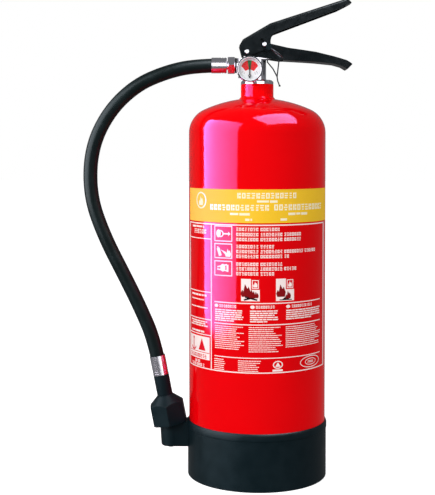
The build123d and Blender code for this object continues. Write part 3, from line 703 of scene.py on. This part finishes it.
class EXTINGUISHER_OT_label(bpy.types.Operator):
    """Print the blind label: band, rules, pictures and columns of lettering"""
    bl_idname = "extinguisher.label"
    bl_label = "Label print"

    def execute(self, context):
        rng = random.Random(7)
        colours = context.scene.extinguisher_colours
        white = film_ink("white", "#FFF3F0", "#FFE4E0")
        pale = film_ink("pale_yellow", "#FFF6D8", "#FFF0C4")
        gold = film_ink("gold", colours.band, "#F0BE00", 0.7)
        dark = film_ink("dark_red", "#8E1418", "#7C0E14")
        red = film_ink("red", "#E4101C", "#D80C18")
        black = film_ink("black", "#1A1214", "#241A1C")
        band = [block(LABEL_LEFT, 300.4, LABEL_RIGHT, LABEL_TOP - 0.3)]
        wrapped_print("label_band", band, gold, 0)
        wrapped_print("label_band_lettering", self.band_lettering(rng), pale, 1)
        wrapped_print("label_rules", self.rules(), white, 0)
        wrapped_print("label_pictures", self.pictures(), white, 1)
        wrapped_print("label_lettering", self.lettering(rng), white, 1)
        wrapped_print("label_fire_classes", self.classes(), white, 1)
        wrapped_print("label_class_boxes", self.class_boxes(), red, 2)
        wrapped_print("label_class_frames", self.class_frames(), white, 3)
        wrapped_print("label_flames", self.flames(), dark, 2)
        wrapped_print("label_logs", self.logs(), black, 2)
        wrapped_print("label_panel_marks", self.panel_marks(rng), red, 2)
        return {"FINISHED"}

    def band_lettering(self, rng):
        parts = blind_title(rng, -25, 327.6, 44, 333.8, 14)
        parts += blind_line(rng, -3, 20, 322.9, 2.6)
        parts += blind_title(rng, -60, 314.2, 10.5, 320.6, 14)
        parts += blind_title(rng, 16.2, 314.4, 89, 321.0, 13)
        parts += blind_line(rng, -33.6, -11, 308.8, 2.7) + blind_line(rng, 33, 60.6, 308.9, 2.7)
        parts += blind_line(rng, -16, -8.4, 302.9, 2.5) + blind_line(rng, 23.5, 33.4, 303.0, 2.5)
        parts += hoop(-76, 324.4, 19, 19, 1.6) + [shape(FLAME, -76, 318.8, 1.25)]
        return parts

    def rules(self):
        parts = [
            block(-107.3, 297.4, 98.6, 298.7),                                 # under the band
            block(-107.3, 133.4, 98.6, 134.6),                                 # foot
            block(-107.3, 134.6, -104.4, 297.4), block(95.6, 134.6, 98.6, 297.4),
            block(-59.2, 134.6, -57.9, 297.4),                                  # beside the left column
            block(-53.8, 210.8, 85.7, 211.9), block(-53.8, 187.0, 85.7, 188.1),
            block(-53.8, 150.0, 85.7, 150.9),
        ]
        for z in (280.7, 220.4, 189.4, 171.6):
            parts.append(block(-105.0, z, -59.2, z + 1.0))
        parts.append(block(-103.6, 143.8, -61.2, 169.6))                        # white panel
        return parts

    def pictures(self):
        parts = []
        for low, high in ((279.3, 297.0), (260.4, 277.2), (240.8, 257.9)):
            parts += outline(-53.8, low, -30.9, high, 1.1)
        # drawing the pin: a fist on a ring, and an arrow
        parts += hoop(-45.5, 288.0, 8.0, 8.0, 1.4) + [block(-41.6, 287.2, -35.5, 288.8)]
        parts += [[(-35.8, 290.6), (-33.0, 288.0), (-35.8, 285.4)], disc(-48.2, 288.2, 6.0, 9.0)]
        # aiming: a small extinguisher, its jet, and a flame
        parts += [shape(block(-1.6, -4.5, 1.6, 3.0), -47.5, 268.4, 1.2, 20)]
        parts += [shape(block(-0.6, 3.0, 0.6, 4.6), -47.5, 268.4, 1.2, 20)]
        parts += [[(-45.6, 270.4), (-38.6, 267.8), (-38.6, 264.2)], shape(FLAME, -36.0, 262.6, 1.1)]
        # squeezing: two levers in a hand
        parts += [shape(block(-8, -0.8, 5, 0.8), -42.0, y, 1.0, turn) for y, turn in ((252.6, 14), (247.4, -6))]
        parts += [disc(-42.5, 250.0, 6.4, 8.6), shape(block(-1.2, -4.0, 1.2, 4.0), -36.6, 249.6, 1.0, 0)]
        return parts

    def lettering(self, rng):
        parts = []
        big = (
            (24, 291.6), (51, 285.9), (52.5, 280.4), (17.5, 272.5), (76, 267.0), (36, 261.6),
            (28, 253.0), (45, 247.8), (18.4, 242.4),
        )
        for right, low in big:
            parts += blind_title(rng, -26.2, low, right, low + 3.7, 8)
        # left column
        parts += blind_line(rng, -96, -70, 293.4, 2.2) + blind_title(rng, -91, 286.7, -66, 291.6, 9)
        parts += blind_line(rng, -98, -66, 215.6, 2.0) + blind_line(rng, -98, -70, 210.8, 1.4)
        parts += blind_line(rng, -100, -64, 202.0, 1.4)
        for k, half in enumerate((17, 14, 18)):
            parts += blind_line(rng, -82 - half, -82 + half, 186.0 - 2.4 * k, 1.5)
        parts += blind_line(rng, -98, -68, 174.2, 2.0)
        parts += blind_title(rng, -89, 139.4, -76, 142.3, 2) + blind_title(rng, -97, 135.4, -68, 138.6, 4)
        # column headings with their round marks
        for mark, left, right in ((-51.0, -47.0, -23.0), (-7.8, -4.0, 18.4), (33.0, 37.5, 70.0)):
            parts += [disc(mark, 207.3, 5.0, 3.8)] + blind_title(rng, left, 205.8, right, 208.9, 8)
        columns = ((-53.0, -16.0), (-10.5, 21.0), (30.5, 86.0))
        for (left, right), count in zip(columns, (6, 6, 5)):
            for k in range(count):
                shorter = 0.35 * (right - left) if k == count - 1 else rng.uniform(0, 5)
                parts += blind_line(rng, left, right - shorter, 202.2 - 2.35 * k, 1.35)
        fine = ((-53.0, -16.0, 12), (-12.0, 27.0, 13), (30.0, 86.0, 11))
        for left, right, count in fine:
            for k in range(count):
                shorter = rng.uniform(0, 0.3) * (right - left)
                parts += blind_line(rng, left, right - shorter, 184.2 - 2.25 * k, 0.85)
        for left, right in ((-54.0, -36.0), (-24.0, 2.0)):
            for k in range(6):
                parts += blind_line(rng, left, right - rng.uniform(0, 6), 146.8 - 2.25 * k, 0.85)
        # two plain marks at the foot: a ringed triangle, and an oval seal
        parts += hoop(20.8, 142.8, 11.6, 8.8, 1.1, 28) + [[(17.6, 140.6), (20.8, 145.6), (24.0, 140.6)]]
        parts += blind_line(rng, 14.6, 27.0, 135.4, 2.2)
        parts += hoop(66, 142.6, 34, 13.4, 0.9, 36) + hoop(66, 142.6, 19, 7.6, 0.7, 28)
        parts += blind_title(rng, 60.5, 141.4, 71.5, 143.8, 9)
        return parts

    def classes(self):
        return [block(-20.6, 213.9, 0.2, 238.6), block(18.4, 213.9, 40.4, 238.6)]

    def class_boxes(self):
        return [block(-9.6, 226.6, 0.2, 238.6), block(30.0, 226.6, 40.4, 238.6)]

    def class_frames(self):
        parts = outline(-8.4, 227.8, -1.0, 237.4, 0.8) + outline(31.2, 227.8, 39.2, 237.4, 0.8)
        return parts + [shape(FLAME, -4.7, 229.4, 0.75), shape(FLAME, 35.2, 229.4, 0.75)]

    def flames(self):
        return [
            shape(FLAME, -15.2, 218.6, 1.75), shape(FLAME, -8.6, 217.4, 1.2), shape(FLAME, -3.8, 217.4, 0.9),
            shape(FLAME, 24.4, 218.4, 1.7), shape(FLAME, 33.0, 216.2, 1.05),
        ]

    def logs(self):
        return [
            shape(block(-7, -0.9, 7, 0.9), -10.6, 216.9, 1.0, 14),
            shape(block(-7, -0.9, 7, 0.9), -9.4, 216.9, 1.0, -14),
            [(24.4, 214.8), (30.0, 218.6), (35.6, 214.8)], block(22.6, 214.6, 37.6, 215.6),
        ]

    def panel_marks(self, rng):
        parts = [shape(block(-0.9, -7, 0.9, 5), -92.5, 160.8, 1.0, 0), disc(-92.5, 166.4, 3.4, 3.2)]
        parts += [p for p in hoop(-92.5, 156.8, 12.0, 9.0, 1.5) if sum(v for u, v in p) / 4 < 156.6]
        parts += [[(-81, 153.8), (-74.4, 167.4), (-67.8, 153.8)]]
        parts += [block(-103.4, 151.2, -61.4, 151.9)]
        return parts + blind_title(rng, -101.5, 145.2, -63.5, 149.4, 20)


# ---- the valve ------------------------------------------------------------------------------
class EXTINGUISHER_OT_valve(bpy.types.Operator):
    """Finish the forged valve, its outlet and its inner parts"""
    bl_idname = "extinguisher.valve"
    bl_label = "Valve"

    def execute(self, context):
        softened("valve_body", "valve_body_plated", "cylinder", chrome_plate(), 0.5)
        softened("hose_nut", "hose_nut_turned", "cylinder", turned_aluminium(), 0.35)
        for node in ("ferrule_valve_end", "hose_tail"):
            dress(node, turned_aluminium())
        for node in ("stem_seal", "stem_o_ring", "outlet_o_ring", "outlet_washer", "gauge_o_ring"):
            dress(node, seal_rubber())
        dress("stem", zinc_steel())
        # the coil is a copy of the CAD spring with its own mesh and no rounding
        spring = softened("stem_spring", "stem_spring_coil", "cylinder", zinc_steel(), 0.02)
        spring.modifiers.clear()
        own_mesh(spring)
        dress("spring_retainer", turned_brass())
        for node in ("dip_tube", "dip_tube_strainer"):
            dress(node, natural_pipe())
        return {"FINISHED"}


# ---- the handles ----------------------------------------------------------------------------
class EXTINGUISHER_OT_handles(bpy.types.Operator):
    """Round and coat the two pressed handles and their pins"""
    bl_idname = "extinguisher.handles"
    bl_label = "Handles"

    def execute(self, context):
        sizes = context.scene.extinguisher_sizes
        edge, web = sizes.pressed_edge / MM, sizes.web_edge / MM
        softened("carry_handle", "carry_handle_pressed", "cylinder", black_powder_coat(), edge,
                 heavy=self.under_edge, heavy_mm=web)
        softened("squeeze_lever", "squeeze_lever_pressed", "lever", black_powder_coat(), edge)
        for node in ("pivot_pin", "handle_rivet"):
            dress(node, zinc_steel())
        return {"FINISHED"}

    def under_edge(self, edge):
        """The outer edges where the carry handle's floor turns up into its sides."""
        middle = (edge.verts[0].co + edge.verts[1].co) / 2
        down = min(face.normal.z for face in edge.link_faces)
        flat = max(abs(face.normal.y) for face in edge.link_faces)
        return down < -0.8 and flat > 0.8 and middle.x > 0.031 and abs(middle.y) > 0.0119


class EXTINGUISHER_OT_safety(bpy.types.Operator):
    """Finish the safety pin, its tab, its ring and the tamper seal"""
    bl_idname = "extinguisher.safety"
    bl_label = "Safety pin"

    def execute(self, context):
        dress("safety_pin", zinc_steel())
        dress("pull_ring", spring_wire())
        dress("pin_tab", moulded_black())
        dress("tamper_seal", seal_strand())
        return {"FINISHED"}


# ---- the gauge ------------------------------------------------------------------------------
class EXTINGUISHER_OT_gauge(bpy.types.Operator):
    """Finish the pressure gauge, print its dial and lay a ring of painted shade on its bezel"""
    bl_idname = "extinguisher.gauge"
    bl_label = "Gauge"

    def execute(self, context):
        softened("gauge_case", "gauge_case_plated", "cylinder", chrome_plate(), 0.18)
        dress("gauge_dial", white_enamel())
        dress("gauge_lens", clear_window())
        dress("bourdon_tube", turned_brass())
        needle_black = dial_ink("needle_black", "#101214", "#191C1F")
        dress("gauge_needle", needle_black)
        dial_print("dial_red_sectors", self.sector(-41, -8) + self.sector(8, 41),
                   dial_ink("red", "#E00010", "#D00010"), 0)
        dial_print("dial_green_sector", self.sector(-8, 8), dial_ink("green", "#1E6B2C", "#175A24"), 0)
        dial_print("dial_marks", self.marks(), dial_ink("grey", "#4A5A60", "#5A6A70"), 0)
        # a dark ring on the front of the bezel, given the rubber finish: painted shade and painted dark reflection
        # round the gauge's outer edge, not a real part
        ring = [[(DIAL_X + u, DIAL_Z + v) for u, v in part] for part in hoop(0, 0, 29.4, 29.4, 1.25, 72)]
        painted_shade_ring = dial_print("bezel_ring", ring, seal_rubber(), 0)
        painted_shade_ring.data.transform(Matrix.Translation((0, (-28.23 - DIAL_FACE_Y + 0.06) * MM, 0)))
        self.turned_cap("needle_cap", -25.43, 24, 0.62, 0.55, 0.12, white_enamel())
        self.turned_cap("needle_washer", -25.1, 32, 1.6, 1.45, 0.3, needle_black)
        return {"FINISHED"}

    def turned_cap(self, name, y, segments, foot_radius, top_radius, height, material):
        """A small turned cap on the needle's pivot, in millimetres, its middle at y."""
        mesh = bpy.data.meshes.new(name)
        form = bmesh.new()
        middle = Vector((DIAL_X * MM, y * MM, PIVOT_Z * MM))
        place = Matrix.Translation(middle) @ Matrix.Rotation(math.pi / 2, 4, "X")
        bmesh.ops.create_cone(form, cap_ends=True, segments=segments, radius1=foot_radius * MM,
                              radius2=top_radius * MM, depth=height * MM, matrix=place)
        form.to_mesh(mesh)
        form.free()
        new_piece(name, mesh, material, "needle")

    def reach(self, angle):
        """From the needle's pivot to the printed circle, along an angle from the vertical."""
        drop = DIAL_Z - PIVOT_Z
        return drop * math.cos(angle) + math.sqrt(DIAL_RADIUS ** 2 - (drop * math.sin(angle)) ** 2)

    def point(self, angle, radius):
        return DIAL_X + radius * math.sin(angle), PIVOT_Z + radius * math.cos(angle)

    def sector(self, start, end, inner=7.0):
        parts, steps = [], max(2, round(abs(end - start) / 4))
        for k in range(steps):
            a, b = (math.radians(start + (end - start) * i / steps) for i in (k, k + 1))
            outer_a, outer_b = self.reach(a) - 0.3, self.reach(b) - 0.3
            parts.append([self.point(a, inner), self.point(a, outer_a), self.point(b, outer_b), self.point(b, inner)])
        return parts

    def marks(self):
        parts = []
        for angle in (-68, -59, 59, 68, 77):
            a = math.radians(angle)
            for r0, r1 in ((8.6, 9.9), (6.4, 7.4)):
                side = 0.022
                corners = ((a - side, r0), (a + side, r0), (a + side, r1), (a - side, r1))
                parts.append([self.point(turn, reach) for turn, reach in corners])
        return parts


# ---- the nozzle and the skirt -----------------------------------------------------------------
class EXTINGUISHER_OT_nozzle(bpy.types.Operator):
    """Round the moulded nozzle and finish its tube and jet"""
    bl_idname = "extinguisher.nozzle"
    bl_label = "Nozzle"

    def execute(self, context):
        edge = context.scene.extinguisher_sizes.moulded_edge / MM
        softened("nozzle_head", "nozzle_head_moulded", "nozzle", moulded_black(), edge)
        for node in ("nozzle_shank", "nozzle_tube", "nozzle_jet"):
            dress(node, moulded_black())
        dress("ferrule_nozzle_end", turned_aluminium())
        return {"FINISHED"}


class EXTINGUISHER_OT_skirt(bpy.types.Operator):
    """Round the moulded skirt and the cup that holds the nozzle"""
    bl_idname = "extinguisher.skirt"
    bl_label = "Skirt"

    def execute(self, context):
        edge = context.scene.extinguisher_sizes.moulded_edge / MM
        softened("base_skirt", "base_skirt_moulded", "cylinder", moulded_black(), edge / 2)
        softened("nozzle_holder", "nozzle_holder_moulded", "cylinder", moulded_black(), edge)
        return {"FINISHED"}


# ---- the panel --------------------------------------------------------------------------------
OPERATORS = (
    EXTINGUISHER_OT_studio, EXTINGUISHER_OT_hose, EXTINGUISHER_OT_tank, EXTINGUISHER_OT_label,
    EXTINGUISHER_OT_valve, EXTINGUISHER_OT_handles, EXTINGUISHER_OT_safety, EXTINGUISHER_OT_gauge,
    EXTINGUISHER_OT_nozzle, EXTINGUISHER_OT_skirt,
)
GROUPS = (ExtinguisherColours, ExtinguisherSizes, ExtinguisherStudio)


class EXTINGUISHER_PT_parts(bpy.types.Panel):
    """The extinguisher's settings and the steps that build it"""
    bl_label = "Extinguisher"
    bl_idname = "EXTINGUISHER_PT_parts"
    bl_space_type = "VIEW_3D"
    bl_region_type = "UI"
    bl_category = "Extinguisher"

    def draw(self, context):
        scene = context.scene
        for group in (scene.extinguisher_colours, scene.extinguisher_sizes, scene.extinguisher_studio):
            box = self.layout.box()
            for key in group.__annotations__:
                box.prop(group, key)
        for operator in OPERATORS:
            self.layout.operator(operator.bl_idname)


def register():
    for cls in GROUPS + OPERATORS + (EXTINGUISHER_PT_parts,):
        bpy.utils.register_class(cls)
    bpy.types.Scene.extinguisher_colours = bpy.props.PointerProperty(type=ExtinguisherColours)
    bpy.types.Scene.extinguisher_sizes = bpy.props.PointerProperty(type=ExtinguisherSizes)
    bpy.types.Scene.extinguisher_studio = bpy.props.PointerProperty(type=ExtinguisherStudio)


def unregister():
    for key in ("extinguisher_colours", "extinguisher_sizes", "extinguisher_studio"):
        delattr(bpy.types.Scene, key)
    for cls in reversed(GROUPS + OPERATORS + (EXTINGUISHER_PT_parts,)):
        bpy.utils.unregister_class(cls)


def main():
    register()
    for operator in OPERATORS:
        group, name = operator.bl_idname.split(".")
        getattr(getattr(bpy.ops, group), name)()
    sort_receivers()


if __name__ == "__main__":
    main()
